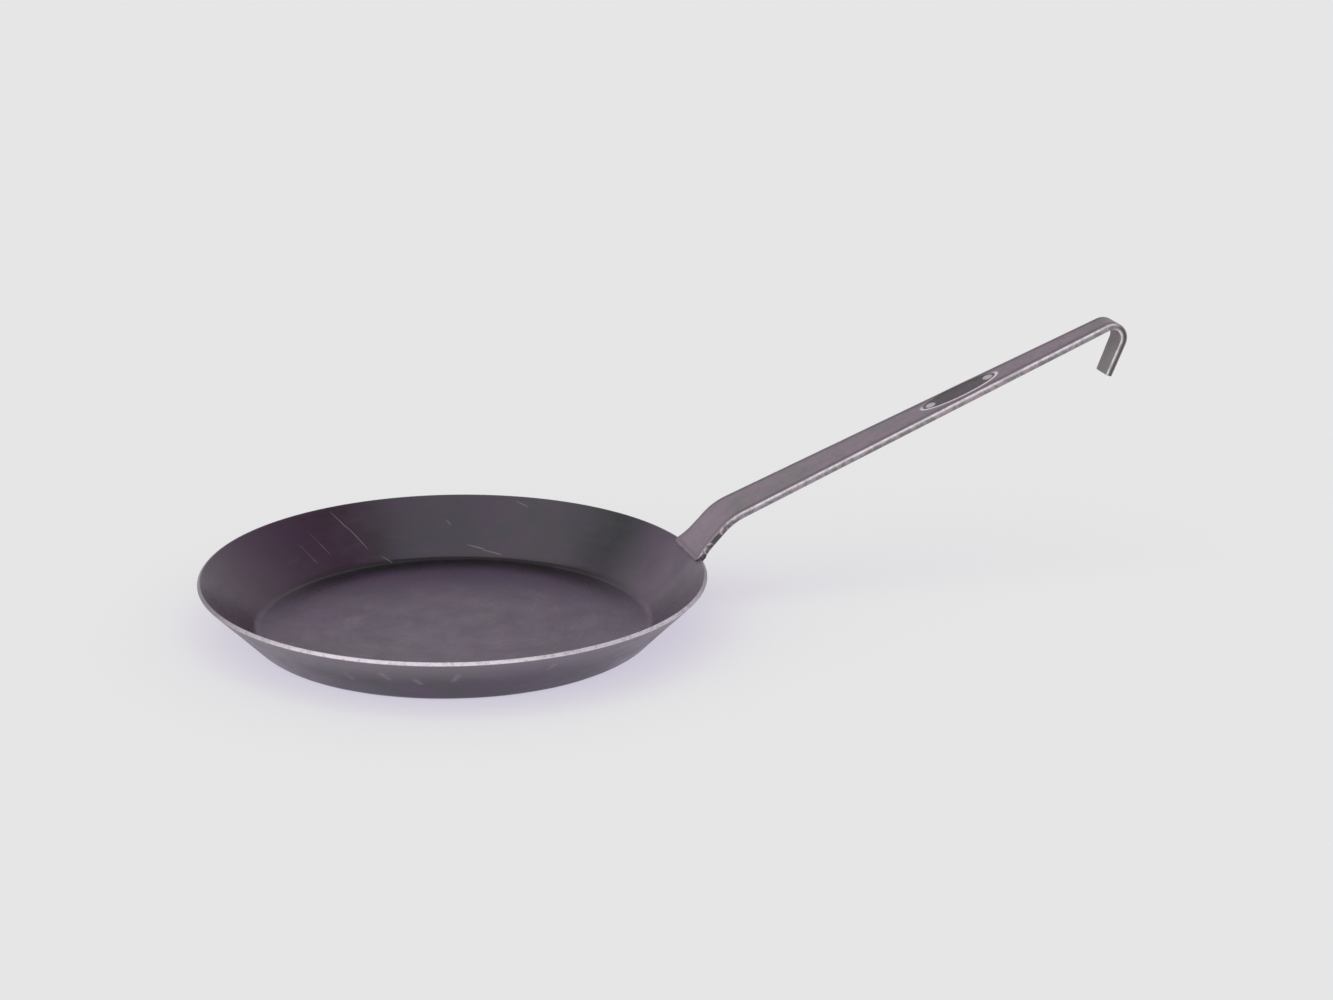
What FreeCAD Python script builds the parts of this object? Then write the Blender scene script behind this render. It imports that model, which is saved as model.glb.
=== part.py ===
import FreeCAD, Part
import math
import os
import Sketcher
from FreeCAD import Rotation, Vector

# Frying pan of sheet iron with a welded flat-bar handle that ends in a hanging hook.
#
# Millimetres, +Z up. The origin is the centre of the pan's flat underside, and the handle points
# along +X. Each piece of the pan is one object, written to parts/ as a STEP file of its own.

# Driving dimensions: alias in the sheet, millimetres or degrees, and what it measures.
DIMENSIONS = (
    ("rim_radius", 140.0, "pan: outer edge of the rim, from the axis"),
    ("rim_height", 30.7, "pan: outer edge of the rim, above the underside"),
    ("sheet_thickness", 2.25, "pan: sheet iron"),
    ("wall_angle", 45.6, "pan: slope of the wall above horizontal"),
    ("corner_radius", 8.0, "pan: outside radius between base and wall"),
    ("rim_rounding", 0.4, "pan: both edges of the rim, deburred"),
    ("bar_thickness", 4.0, "handle: flat bar"),
    ("bar_rounding", 0.7, "handle: long edges of the bar"),
    ("width_at_bend", 30.3, "handle: bar width at the top of the lower bend"),
    ("width_at_hook", 15.9, "handle: bar width where the hook begins"),
    ("width_at_tip", 13.6, "handle: bar width at the end of the hook"),
    ("flare_radius", 20.0, "handle: hollow flanks of the hammered end"),
    ("flare_length", 13.0, "handle: length of the hammered end"),
    ("flare_corner", 2.6, "handle: rounded corners of the hammered end"),
    ("lap_length", 3.8, "handle: reach of the end down the inside of the wall"),
    ("lap_thickness", 2.35, "handle: top face of the end above the inside of the wall"),
    ("lower_leg", 23.0, "handle: straight run from the end to the bend"),
    ("bend_radius", 34.75, "handle: lower bend, at mid thickness"),
    ("upper_leg_angle", 21.6, "handle: slope of the long run above horizontal"),
    ("upper_leg", 239.0, "handle: long run from the bend to the hook"),
    ("hook_radius", 7.65, "handle: hook, at mid thickness"),
    ("hook_turn", 134.0, "handle: angle that the hook turns through"),
    ("hook_end", 20.5, "handle: straight run at the end of the hook"),
    ("stamp_distance", 146.0, "handle: centre of the blank oval, along the long run"),
    ("stamp_offset", 1.8, "handle: centre of the blank oval, to the +Y side"),
    ("stamp_length", 48.0, "handle: blank oval"),
    ("stamp_width", 15.6, "handle: blank oval"),
    ("stamp_depth", 0.3, "handle: blank oval"),
    ("under_weld_radius", 2.3, "weld under the bar: bead section"),
    ("under_weld_sweep", 8.5, "weld under the bar: angle about the pan's axis"),
    ("side_weld_radius", 1.4, "welds beside the bar: bead section"),
    ("side_weld_length", 4.5, "welds beside the bar: straight part of each bead"),
    ("side_weld_above", 1.3, "welds beside the bar: how far the straight part passes the rim"),
    ("side_weld_spacing", 37.2, "welds beside the bar: between the middles of the beads"),
)
CLEAR = 20.0  # how far a cutting shape runs past what it cuts

doc = FreeCAD.newDocument("frying_pan")
dims = doc.addObject("Spreadsheet::Sheet", "dims")
for row, (alias, value, meaning) in enumerate(DIMENSIONS, start=1):
    dims.set(f"A{row}", meaning)
    dims.set(f"B{row}", str(value))
    dims.setAlias(f"B{row}", alias)
doc.recompute()


def size(alias):
    """The sheet's value for one driving dimension."""
    return float(dims.get(alias))


def slope(degrees):
    """Unit vector in the XZ plane at an angle above +X."""
    angle = math.radians(degrees)
    return Vector(math.cos(angle), 0, math.sin(angle))


def normal_to(degrees):
    """Unit vector in the XZ plane, a quarter turn on from slope(degrees)."""
    return slope(degrees + 90)


def flat(vector):
    """A point of the XZ plane in the coordinates of a sketch on that plane."""
    return Vector(vector.x, vector.z, 0)


def new_body(label):
    body = doc.addObject("PartDesign::Body", label)
    body.Label = label
    return body


def origin_plane(body, role):
    return next(plane for plane in body.Origin.OriginFeatures if plane.Role == role)


def new_sketch(body, name, support):
    sketch = body.newObject("Sketcher::SketchObject", name)
    sketch.AttachmentSupport = support
    sketch.MapMode = "FlatFace"
    return sketch


def line(sketch, start, end):
    return sketch.addGeometry(Part.LineSegment(start, end), False)


def arc(sketch, centre, radius, start_angle, end_angle):
    """Anticlockwise arc; its point 1 is at start_angle and its point 2 at end_angle, in degrees."""
    circle = Part.Circle(centre, Vector(0, 0, 1), radius)
    ends = math.radians(start_angle), math.radians(end_angle)
    return sketch.addGeometry(Part.ArcOfCircle(circle, *ends), False)


def drive(sketch, name, expression, kind, *where):
    """Add a named dimension to a sketch and bind it to the sheet."""
    index = sketch.addConstraint(Sketcher.Constraint(kind, *where))
    sketch.renameConstraint(index, name)
    sketch.setExpression(f"Constraints.{name}", expression)


def relate(sketch, kind, *pairs):
    """Add one undimensioned constraint of a kind for each tuple of its arguments."""
    for where in pairs:
        sketch.addConstraint(Sketcher.Constraint(kind, *where))


# Points of the pan's section that the other pieces meet.
WALL = slope(size("wall_angle"))
WALL_NORMAL = normal_to(size("wall_angle"))
RIM_OUTER = Vector(size("rim_radius"), 0, size("rim_height"))
RIM_INNER = RIM_OUTER + WALL_NORMAL * size("sheet_thickness")
RIM_INNER_X = "(dims.rim_radius - dims.sheet_thickness * sin(dims.wall_angle * 1 deg))"
RIM_INNER_Z = "(dims.rim_height + dims.sheet_thickness * cos(dims.wall_angle * 1 deg))"


def make_pan():
    """Sheet of one thickness, turned about Z: flat base, round corner, straight flared wall."""
    body = new_body("pan")
    sketch = new_sketch(body, "pan_section", origin_plane(body, "XZ_Plane"))
    sheet, corner, angle = size("sheet_thickness"), size("corner_radius"), size("wall_angle")
    wall_rise = size("rim_height") - corner * (1 - math.cos(math.radians(angle)))
    wall_foot = RIM_OUTER - WALL * (wall_rise / math.sin(math.radians(angle)))
    centre = flat(wall_foot + WALL_NORMAL * corner)
    base_x = centre.x

    under = line(sketch, Vector(0, 0, 0), Vector(base_x, 0, 0))
    outer_corner = arc(sketch, centre, corner, -90, angle - 90)
    outer_wall = line(sketch, flat(wall_foot), flat(RIM_OUTER))
    rim = line(sketch, flat(RIM_OUTER), flat(RIM_INNER))
    inner_wall = line(sketch, flat(RIM_INNER), flat(wall_foot + WALL_NORMAL * sheet))
    inner_corner = arc(sketch, centre, corner - sheet, -90, angle - 90)
    floor = line(sketch, Vector(base_x, sheet, 0), Vector(0, sheet, 0))
    axis = line(sketch, Vector(0, sheet, 0), Vector(0, 0, 0))

    relate(
        sketch,
        "Coincident",
        (under, 1, -1, 1),
        (outer_wall, 2, rim, 1),
        (rim, 2, inner_wall, 1),
        (floor, 2, axis, 1),
        (axis, 2, under, 1),
        (outer_corner, 3, inner_corner, 3),
    )
    relate(
        sketch,
        "Tangent",
        (under, 2, outer_corner, 1),
        (outer_corner, 2, outer_wall, 1),
        (inner_wall, 2, inner_corner, 2),
        (inner_corner, 1, floor, 1),
    )
    relate(sketch, "Horizontal", (under,), (floor,))
    relate(sketch, "Vertical", (axis,))
    relate(sketch, "Parallel", (outer_wall, inner_wall))
    relate(sketch, "Perpendicular", (outer_wall, rim))
    drive(sketch, "outer_corner", "dims.corner_radius", "Radius", outer_corner, corner)
    drive(
        sketch,
        "inner_corner",
        "dims.corner_radius - dims.sheet_thickness",
        "Radius",
        inner_corner,
        corner - sheet,
    )
    drive(sketch, "wall_angle", "dims.wall_angle * 1 deg", "Angle", outer_wall, math.radians(angle))
    drive(sketch, "rim_radius", "dims.rim_radius", "DistanceX", outer_wall, 2, RIM_OUTER.x)
    drive(sketch, "rim_height", "dims.rim_height", "DistanceY", outer_wall, 2, RIM_OUTER.z)
    doc.recompute()

    turned = body.newObject("PartDesign::Revolution", "turned")
    turned.Profile = sketch
    turned.ReferenceAxis = (sketch, ["V_Axis"])
    turned.Angle = 360
    doc.recompute()

    rim_edges = [
        f"Edge{number}"
        for number, edge in enumerate(turned.Shape.Edges, start=1)
        if isinstance(edge.Curve, Part.Circle) and edge.BoundBox.ZMin > RIM_OUTER.z - sheet / 2
    ]
    deburred = body.newObject("PartDesign::Fillet", "deburred_rim")
    deburred.Base = (turned, rim_edges)
    deburred.setExpression("Radius", "dims.rim_rounding")
    body.Tip = deburred
    doc.recompute()
    return body


class BarPath:
    """Side view of the bar at mid thickness: end, lower leg, bend, long leg, hook, hook end."""

    def __init__(self):
        self.half = size("bar_thickness") / 2
        self.angles = (
            size("wall_angle"),
            size("upper_leg_angle"),
            size("upper_leg_angle") - size("hook_turn"),
        )
        low, mid, high = self.angles
        self.corner = RIM_INNER - WALL * size("lap_length") + WALL_NORMAL * size("lap_thickness")
        self.start = self.corner - WALL_NORMAL * self.half
        self.leg_end = self.start + slope(low) * size("lower_leg")
        self.bend_centre = self.leg_end - normal_to(low) * size("bend_radius")
        self.bend_end = self.bend_centre + normal_to(mid) * size("bend_radius")
        self.hook_start = self.bend_end + slope(mid) * size("upper_leg")
        self.hook_centre = self.hook_start - normal_to(mid) * size("hook_radius")
        self.hook_end = self.hook_centre + normal_to(high) * size("hook_radius")
        self.tip = self.hook_end + slope(high) * size("hook_end")

    def side(self, sign):
        """The corners of one face of the bar, +1 for the top and -1 for the underside."""
        low, mid, high = (normal_to(angle) * (sign * self.half) for angle in self.angles)
        return (
            flat(self.start + low),
            flat(self.leg_end + low),
            flat(self.bend_end + mid),
            flat(self.hook_start + mid),
            flat(self.hook_end + high),
            flat(self.tip + high),
        )

    def reach(self, point):
        """How far a point lies from the end of the bar, measured along the lower leg."""
        return (point - self.corner).dot(slope(self.angles[0]))

    def width(self, reach):
        """Width of the tapered bar at a reach from its end."""
        bend, hook = self.reach(self.bend_end), self.reach(self.hook_start)
        share = (reach - bend) / (hook - bend)
        return size("width_at_bend") + share * (size("width_at_hook") - size("width_at_bend"))


def draw_bar_side(sketch, path):
    """The bar's side view: two parallel faces joined by square ends."""
    low, mid, high = path.angles
    faces = []
    for sign in (1, -1):
        start, leg_end, bend_end, hook_start, hook_end, tip = path.side(sign)
        bend_radius = size("bend_radius") + sign * path.half
        hook_radius = size("hook_radius") + sign * path.half
        lower = line(sketch, start, leg_end)
        bend = arc(sketch, flat(path.bend_centre), bend_radius, mid + 90, low + 90)
        upper = line(sketch, bend_end, hook_start)
        hook = arc(sketch, flat(path.hook_centre), hook_radius, high + 90, mid + 90)
        last = line(sketch, hook_end, tip)
        relate(
            sketch,
            "Tangent",
            (lower, 2, bend, 2),
            (bend, 1, upper, 1),
            (upper, 2, hook, 2),
            (hook, 1, last, 1),
        )
        name = "top" if sign > 0 else "under"
        half = f"{sign} * dims.bar_thickness / 2"
        drive(sketch, f"{name}_bend", f"dims.bend_radius + {half}", "Radius", bend, bend_radius)
        drive(sketch, f"{name}_hook", f"dims.hook_radius + {half}", "Radius", hook, hook_radius)
        faces.append((lower, bend, upper, hook, last))

    top, under = faces
    pan_end = line(sketch, path.side(-1)[0], path.side(1)[0])
    hook_tip = line(sketch, path.side(1)[-1], path.side(-1)[-1])
    relate(
        sketch,
        "Coincident",
        (pan_end, 1, under[0], 1),
        (pan_end, 2, top[0], 1),
        (hook_tip, 1, top[4], 2),
        (hook_tip, 2, under[4], 2),
        (top[1], 3, under[1], 3),
        (top[3], 3, under[3], 3),
    )
    relate(sketch, "Parallel", (top[0], under[0]), (top[4], under[4]))
    relate(sketch, "Perpendicular", (top[0], pan_end), (top[4], hook_tip))
    drive(sketch, "lower_leg", "dims.lower_leg", "Distance", top[0], size("lower_leg"))
    drive(sketch, "upper_leg", "dims.upper_leg", "Distance", top[2], size("upper_leg"))
    drive(sketch, "hook_end", "dims.hook_end", "Distance", top[4], size("hook_end"))
    drive(sketch, "lower_angle", "dims.wall_angle * 1 deg", "Angle", top[0], math.radians(low))
    drive(
        sketch, "upper_angle", "dims.upper_leg_angle * 1 deg", "Angle", top[2], math.radians(mid)
    )
    drive(
        sketch,
        "last_angle",
        "(dims.upper_leg_angle - dims.hook_turn) * 1 deg",
        "Angle",
        top[4],
        math.radians(high),
    )
    end_x = (
        f"{RIM_INNER_X} - dims.lap_length * cos(dims.wall_angle * 1 deg)"
        " - dims.lap_thickness * sin(dims.wall_angle * 1 deg)"
    )
    end_z = (
        f"{RIM_INNER_Z} - dims.lap_length * sin(dims.wall_angle * 1 deg)"
        " + dims.lap_thickness * cos(dims.wall_angle * 1 deg)"
    )
    corner = path.side(1)[0]
    drive(sketch, "end_x", end_x, "DistanceX", top[0], 1, corner.x)
    drive(sketch, "end_z", end_z, "DistanceY", top[0], 1, corner.y)


def cut(body, kind, name, sketch, depth=None, **settings):
    """Add a Pocket or Groove and stop if it takes nothing away. A depth is bound to the sheet."""
    before = body.Shape.Volume
    feature = body.newObject(f"PartDesign::{kind}", name)
    feature.Profile = sketch
    for setting, value in settings.items():
        setattr(feature, setting, value)
    if depth:
        feature.setExpression("Length", depth)
    doc.recompute()
    if not feature.Shape.Volume < before:
        raise RuntimeError(f"{name} cuts nothing")
    return feature


def mirror(body, feature):
    """The same cut on the other side of the XZ plane."""
    copy = body.newObject("PartDesign::Mirrored", f"{feature.Name}_mirrored")
    copy.Originals = [feature]
    copy.MirrorPlane = (origin_plane(body, "XZ_Plane"), [""])
    body.Tip = copy
    doc.recompute()
    return copy


def face_on(shape, normal, point):
    """Name of the plane face that faces along normal and whose plane holds a point."""
    for number, face in enumerate(shape.Faces, start=1):
        outward = face.normalAt(0, 0)
        offset = (face.CenterOfMass - point).dot(normal)
        if isinstance(face.Surface, Part.Plane) and outward.dot(normal) > 0.999 and abs(offset) < 0.01:
            return f"Face{number}"
    raise RuntimeError("the body has no such face")


def sketch_on_face(body, name, normal, point):
    """A sketch on one of the body's own faces, and the map from space to its coordinates."""
    sketch = new_sketch(body, name, [(body.Tip, face_on(body.Shape, normal, point))])
    doc.recompute()
    return sketch, sketch.Placement.inverse().multVec


def closed_outline(sketch, corners):
    """Straight sides through the corners in turn, joined end to end."""
    sides = [line(sketch, *ends) for ends in zip(corners, corners[1:] + corners[:1])]
    joints = zip(sides, sides[1:] + sides[:1])
    relate(sketch, "Coincident", *((before, 2, after, 1) for before, after in joints))
    return sides


def trim_sides(body, path):
    """Cut square to the lower leg: a hollow flare at the end, then the straight taper."""
    low = path.angles[0]
    sketch, local = sketch_on_face(body, "side_outline", normal_to(low), path.corner)

    def place(reach, across):
        return local(path.corner + slope(low) * reach + Vector(0, across, 0))

    radius, flare = size("flare_radius"), size("flare_length")
    narrowing = (path.width(0) - path.width(flare)) / flare / 2
    lean = math.atan(narrowing)
    centre_reach = flare + radius * math.sin(lean)
    centre_across = -path.width(flare) / 2 - radius * math.cos(lean)

    def on_flare(reach):
        return place(reach, centre_across + math.sqrt(radius**2 - (reach - centre_reach) ** 2))

    past_end, past_hook = -path.half, path.reach(path.hook_start) + CLEAR
    flare_end, flare_middle, flare_start = (on_flare(at) for at in (past_end, flare / 2, flare))
    taper_end = place(past_hook, -path.width(past_hook) / 2)
    outside = (place(past_hook, -size("width_at_bend")), place(past_end, -size("width_at_bend")))
    sketch.addGeometry(Part.Arc(flare_end, flare_middle, flare_start), False)
    outline = (flare_start, taper_end, *outside, flare_end)
    for start, end in zip(outline, outline[1:]):
        line(sketch, start, end)
    doc.recompute()
    return mirror(body, cut(body, "Pocket", "taper", sketch, Type="ThroughAll", Midplane=True))


def trim_hook_end(body, path):
    """The last run of the hook narrows faster than the bar: its sides are cut square to it."""
    high = path.angles[2]
    origin = path.hook_end + normal_to(high) * path.half
    sketch, local = sketch_on_face(body, "hook_end_outline", normal_to(high), origin)
    start_width = path.width(path.reach(origin))
    narrowing = (start_width - size("width_at_tip")) / size("hook_end")
    past_bend, past_tip = -2 * path.half, size("hook_end") + path.half

    def place(along, width):
        return local(origin + slope(high) * along + Vector(0, -width / 2, 0))

    corners = (
        place(past_bend, start_width - narrowing * past_bend),
        place(past_tip, start_width - narrowing * past_tip),
        place(past_tip, start_width + CLEAR),
        place(past_bend, start_width + CLEAR),
    )
    closed_outline(sketch, corners)
    doc.recompute()
    taper = cut(body, "Pocket", "hook_end_taper", sketch, depth="1.5 * dims.bar_thickness")
    return mirror(body, taper)


def round_edges(body, name, alias, edges):
    before = body.Tip
    rounded = body.newObject("PartDesign::Fillet", name)
    rounded.Base = (before, edges)
    rounded.setExpression("Radius", f"dims.{alias}")
    doc.recompute()


def seat_on_rim(body):
    """The pan's wall and rim, turned about Z, taken out of the underside of the hammered end."""
    sketch = new_sketch(body, "seat_section", origin_plane(body, "XZ_Plane"))
    down, out = WALL * -CLEAR, WALL_NORMAL * -size("sheet_thickness") * 2
    corners = tuple(flat(RIM_INNER + offset) for offset in (Vector(), down, down + out, out))
    sides = closed_outline(sketch, corners)
    relate(sketch, "Parallel", (sides[0], sides[2]), (sides[1], sides[3]))
    relate(sketch, "Perpendicular", (sides[0], sides[1]))
    drive(sketch, "rim_x", RIM_INNER_X, "DistanceX", sides[0], 1, RIM_INNER.x)
    drive(sketch, "rim_z", RIM_INNER_Z, "DistanceY", sides[0], 1, RIM_INNER.z)
    doc.recompute()
    cut(body, "Groove", "seat", sketch, ReferenceAxis=(sketch, ["V_Axis"]), Angle=360)


def stamp_oval(body, path):
    """Shallow blank oval in the top face of the long run."""
    direction, normal = slope(path.angles[1]), normal_to(path.angles[1])
    centre = path.bend_end + normal * path.half + direction * size("stamp_distance")
    centre += Vector(0, size("stamp_offset"), 0)
    sketch, local = sketch_on_face(body, "stamp_outline", normal, centre)
    middle = local(centre)
    major = local(centre + direction * (size("stamp_length") / 2))
    minor = local(centre + Vector(0, size("stamp_width") / 2, 0))
    oval = sketch.addGeometry(Part.Ellipse(major, minor, middle), False)
    sketch.exposeInternalGeometry(oval)
    doc.recompute()
    cut(body, "Pocket", "stamp", sketch, depth="dims.stamp_depth")


def make_handle():
    """Flat bar: side view, then its sides, rounded edges, the seat on the rim and the stamp."""
    body = new_body("handle")
    path = BarPath()
    sketch = new_sketch(body, "bar_side", origin_plane(body, "XZ_Plane"))
    draw_bar_side(sketch, path)
    doc.recompute()
    bar = body.newObject("PartDesign::Pad", "bar")
    bar.Profile = sketch
    bar.setExpression("Length", "2 * dims.width_at_bend")
    bar.Midplane = True
    doc.recompute()
    trim_sides(body, path)
    trim_hook_end(body, path)

    shape = body.Shape
    end_face = shape.getElement(face_on(shape, -slope(path.angles[0]), path.start))
    end_corners = [
        f"Edge{number}"
        for number, edge in enumerate(shape.Edges, start=1)
        if abs(edge.tangentAt(edge.FirstParameter).y) < 0.5
        and any(edge.isSame(other) for other in end_face.Edges)
    ]
    round_edges(body, "round_corners", "flare_corner", end_corners)
    every_edge = [f"Edge{number}" for number in range(1, len(body.Shape.Edges) + 1)]
    round_edges(body, "worn_edges", "bar_rounding", every_edge)
    seat_on_rim(body)
    stamp_oval(body, path)
    return body


def primitive(kind, name, **expressions):
    """A Part primitive whose sizes are bound to the sheet."""
    shape = doc.addObject(f"Part::{kind}", name)
    for size_name, expression in expressions.items():
        shape.setExpression(size_name, expression)
    return shape


def place_expression(shape, x, y, z):
    """Bind a shape's position to the sheet."""
    for axis, expression in (("x", x), ("y", y), ("z", z)):
        shape.setExpression(f"Placement.Base.{axis}", expression)


def deposit(label, shapes, pan, blank_bar):
    """Weld metal: the round beads less what lies inside the pan and inside the bar."""
    beads = doc.addObject("Part::MultiFuse", f"{label}_beads")
    beads.Shapes = shapes
    outside_pan = doc.addObject("Part::Cut", f"{label}_outside_pan")
    outside_pan.Base = beads
    outside_pan.Tool = pan
    weld = doc.addObject("Part::Cut", label)
    weld.Label = label
    weld.Base = outside_pan
    weld.Tool = blank_bar
    doc.recompute()
    return weld


def make_under_weld(pan, blank_bar):
    """Bead along the outer edge of the rim, under the bar, with round ends."""
    half = "dims.under_weld_sweep * 1 deg / 2"
    bead = primitive(
        "Torus",
        "under_bead",
        Radius1="dims.rim_radius",
        Radius2="dims.under_weld_radius",
        Angle3="dims.under_weld_sweep * 1 deg",
    )
    bead.setExpression("Placement.Base.z", "dims.rim_height")
    bead.setExpression("Placement.Rotation.Angle", f"-{half}")
    ends = []
    for name, sign in (("near", -1), ("far", 1)):
        end = primitive("Sphere", f"under_bead_{name}_end", Radius="dims.under_weld_radius")
        x = f"dims.rim_radius * cos({half})"
        y = f"{sign} * dims.rim_radius * sin({half})"
        place_expression(end, x, y, "dims.rim_height")
        ends.append(end)
    return deposit("under_weld", [bead, *ends], pan, blank_bar)


def make_side_welds(pan, blank_bar):
    """A short bead at each side of the bar's end, across the inner edge of the rim."""
    shapes = []
    for name, sign in (("near", -1), ("far", 1)):
        y = f"{sign} * dims.side_weld_spacing / 2"
        bead = primitive(
            "Cylinder",
            f"side_bead_{name}",
            Radius="dims.side_weld_radius",
            Height="dims.side_weld_length",
        )
        bead.Placement.Rotation = Rotation(Vector(0, 0, 1), WALL)
        shapes.append(bead)
        low = "(dims.side_weld_above - dims.side_weld_length)"
        high = "dims.side_weld_above"
        for part_name, along in (("low", low), ("high", high)):
            x = f"{RIM_INNER_X} + {along} * cos(dims.wall_angle * 1 deg)"
            z = f"{RIM_INNER_Z} + {along} * sin(dims.wall_angle * 1 deg)"
            end = primitive("Sphere", f"side_bead_{name}_{part_name}", Radius="dims.side_weld_radius")
            place_expression(end, x, y, z)
            shapes.append(end)
            if part_name == "low":
                place_expression(bead, x, y, z)
    return deposit("side_welds", shapes, pan, blank_bar)


def check(pieces):
    """Stop before anything is written if the document holds a failed object or a bad shape."""
    for item in doc.Objects:
        if "Invalid" in item.State or "Error" in item.State:
            raise RuntimeError(f"{item.Label}: {item.State}")
    for piece in pieces:
        if piece.Shape.isNull() or not piece.Shape.isValid() or not piece.Shape.Solids:
            raise RuntimeError(f"{piece.Label}: bad shape")
        solids = len(piece.Shape.Solids)
        print(f"{piece.Label}: {solids} solid(s), {piece.Shape.Volume / 1000:.2f} cubic cm")


pan_piece = make_pan()
handle_piece = make_handle()
bar_before_seat = doc.getObject("worn_edges")
pieces = (
    pan_piece,
    handle_piece,
    make_under_weld(pan_piece, bar_before_seat),
    make_side_welds(pan_piece, bar_before_seat),
)
doc.recompute()
check(pieces)
os.makedirs("parts", exist_ok=True)
for piece in pieces:
    piece.Shape.exportStep(f"parts/{piece.Label}.step")
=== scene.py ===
import math

import bpy
import numpy as np
from mathutils import Matrix, Vector, noise


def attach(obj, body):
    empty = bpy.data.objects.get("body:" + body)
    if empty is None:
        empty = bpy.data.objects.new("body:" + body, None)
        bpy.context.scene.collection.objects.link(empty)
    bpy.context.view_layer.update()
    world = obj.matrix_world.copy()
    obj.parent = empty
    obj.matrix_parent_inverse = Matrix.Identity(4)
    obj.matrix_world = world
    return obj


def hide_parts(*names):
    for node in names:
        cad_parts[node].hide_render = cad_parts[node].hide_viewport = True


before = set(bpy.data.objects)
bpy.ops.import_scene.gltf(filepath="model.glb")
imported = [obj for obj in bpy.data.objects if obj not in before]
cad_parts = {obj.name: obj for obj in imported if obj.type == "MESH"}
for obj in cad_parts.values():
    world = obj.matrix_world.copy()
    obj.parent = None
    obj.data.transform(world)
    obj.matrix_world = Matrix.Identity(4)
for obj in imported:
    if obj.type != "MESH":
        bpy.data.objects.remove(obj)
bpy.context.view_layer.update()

MM = 0.001

# Measures of the CAD pieces, in millimetres and degrees.
RIM_RADIUS, RIM_HEIGHT, RIM_ROUNDING = 140.0, 30.7, 0.4
SHEET, CORNER_RADIUS, WALL_ANGLE = 2.25, 8.0, 45.6
BAR_HALF, BAR_ROUNDING, UNDERSIDE_ROUNDING = 2.0, 0.7, 0.35
WIDTH_AT_BEND, WIDTH_AT_HOOK, WIDTH_AT_TIP = 30.3, 15.9, 13.6
FLARE_RADIUS, FLARE_LENGTH, FLARE_CORNER = 20.0, 13.0, 2.6
LAP_LENGTH, LAP_THICKNESS = 3.8, 2.35
LOWER_LEG, BEND_RADIUS = 23.0, 34.75
LONG_RUN, LONG_RUN_ANGLE = 239.0, 21.6
HOOK_RADIUS, HOOK_TURN, HOOK_END = 7.65, 134.0, 20.5
OVAL_DISTANCE, OVAL_OFFSET, OVAL_LENGTH, OVAL_WIDTH, OVAL_DEPTH = 146.0, 1.8, 48.0, 15.6, 0.3
OVAL_BOSS_PLACE, OVAL_BOSS_RADIUS = 18.6, 3.4
RIDGE_HEIGHT, BOSS_HEIGHT = 0.08, 0.18
UNDER_WELD_RADIUS, UNDER_WELD_SWEEP = 2.3, 8.5
SIDE_WELD_RADIUS, SIDE_WELD_LENGTH, SIDE_WELD_ABOVE, SIDE_WELD_SPACING = 1.4, 4.5, 1.3, 37.2

# Depths of what the CAD leaves out: waves of the sheet, dents of the bar and its uneven sides.
BROAD_WAVE, SMALL_WAVE = 0.16, 0.05
ROLLED_DENT, HAMMERED_DENT, HAMMERED_START, HAMMERED_END = 0.02, 0.09, 6.0, 30.0
SIDE_WANDER = 0.05


def heading(degrees):
    """Unit vector in the XZ plane (or the pan's r-z section) at an angle above the horizontal."""
    angle = np.radians(degrees)
    return np.stack([np.cos(angle), np.sin(angle)], axis=-1)


WALL, WALL_NORMAL = heading(WALL_ANGLE), heading(WALL_ANGLE + 90)
RIM_OUTER = np.array([RIM_RADIUS, RIM_HEIGHT])
RIM_INNER = RIM_OUTER + WALL_NORMAL * SHEET


def smooth_step(value, low, high):
    """A share that eases from 0 to 1 as a value goes from low to high."""
    share = np.clip((value - low) / (high - low), 0, 1)
    return share * share * (3 - 2 * share)


def uneven(points, wavelength, seed=0.0):
    """Smooth noise from -1 to 1 at each point, with bumps about a wavelength apart."""
    shift = Vector((seed, seed, seed))
    flat = np.asarray(points, float).reshape(-1, 3) / wavelength
    values = [noise.noise(Vector(point) + shift) for point in flat]
    return np.array(values).reshape(np.shape(points)[:-1])


# Meshes ------------------------------------------------------------------------------------


def skin(rings):
    """Vertices and faces of a closed skin over rings of points, with a point at each end."""
    count, size = rings.shape[:2]
    ends = np.stack([rings[0].mean(axis=0), rings[-1].mean(axis=0)])
    vertices = np.concatenate([rings.reshape(-1, 3), ends])
    index = np.arange(count * size).reshape(count, size)
    after = np.roll(index, -1, axis=1)
    sides = np.stack([index[:-1], after[:-1], after[1:], index[1:]], axis=-1).reshape(-1, 4)
    first, last = count * size, count * size + 1
    start = [(first, b, a) for a, b in zip(index[0], after[0])]
    end = [(last, a, b) for a, b in zip(index[-1], after[-1])]
    return vertices, sides.tolist() + start + end


def add_piece(name, node, material, parts, attributes=None):
    """One object from one or more skins in millimetres. It stands for a CAD node."""
    vertices, faces = [], []
    for part_vertices, part_faces in parts:
        shift = sum(len(block) for block in vertices)
        vertices.append(part_vertices)
        faces += [tuple(corner + shift for corner in face) for face in part_faces]
    mesh = bpy.data.meshes.new(name)
    mesh.from_pydata((np.concatenate(vertices) * MM).tolist(), [], faces)
    for label, values in (attributes or {}).items():
        kind = "FLOAT_VECTOR" if values.ndim == 2 else "FLOAT"
        attribute = mesh.attributes.new(label, kind, "POINT")
        field = "vector" if values.ndim == 2 else "value"
        attribute.data.foreach_set(field, values.astype(np.float32).ravel())
    mesh.polygons.foreach_set("use_smooth", [True] * len(mesh.polygons))
    mesh.materials.append(material)
    mesh.update()
    piece = bpy.data.objects.new(name, mesh)
    bpy.context.scene.collection.objects.link(piece)
    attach(piece, "root")
    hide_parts(node)


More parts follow.
